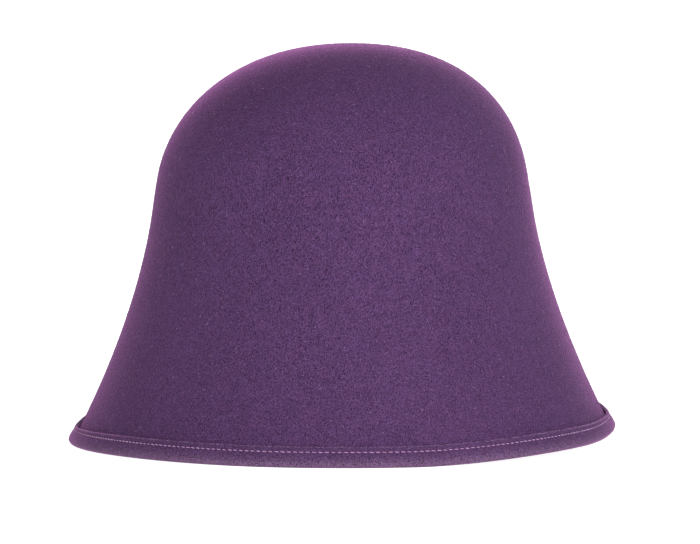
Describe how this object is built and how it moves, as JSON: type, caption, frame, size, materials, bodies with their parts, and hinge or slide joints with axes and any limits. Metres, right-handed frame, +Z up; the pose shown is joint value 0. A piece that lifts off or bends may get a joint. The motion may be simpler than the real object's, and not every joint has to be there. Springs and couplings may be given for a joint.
{
  "type": "cloche hat",
  "caption": "Bell-shaped felt cloche hat: deep round crown, wall flaring smoothly into a narrow brim whose edge is turned up outside as a stitched hem, open below.",
  "frame": {"origin": "on the table under the hat, at the middle of the brim's outer box", "axes": "+Z up through the crown, -Y the way the wearer looks, +X the wearer's left, which is the right of the picture"},
  "size_m": [0.2376, 0.2698, 0.1728],
  "materials": {
    "felt": "matt wool felt, short nap with a soft magenta sheen at grazing angles",
    "thread": "twisted sewing thread, soft satin"
  },
  "bodies": {
    "root": {"felt_body": "felt"}
  },
  "joints": []
}
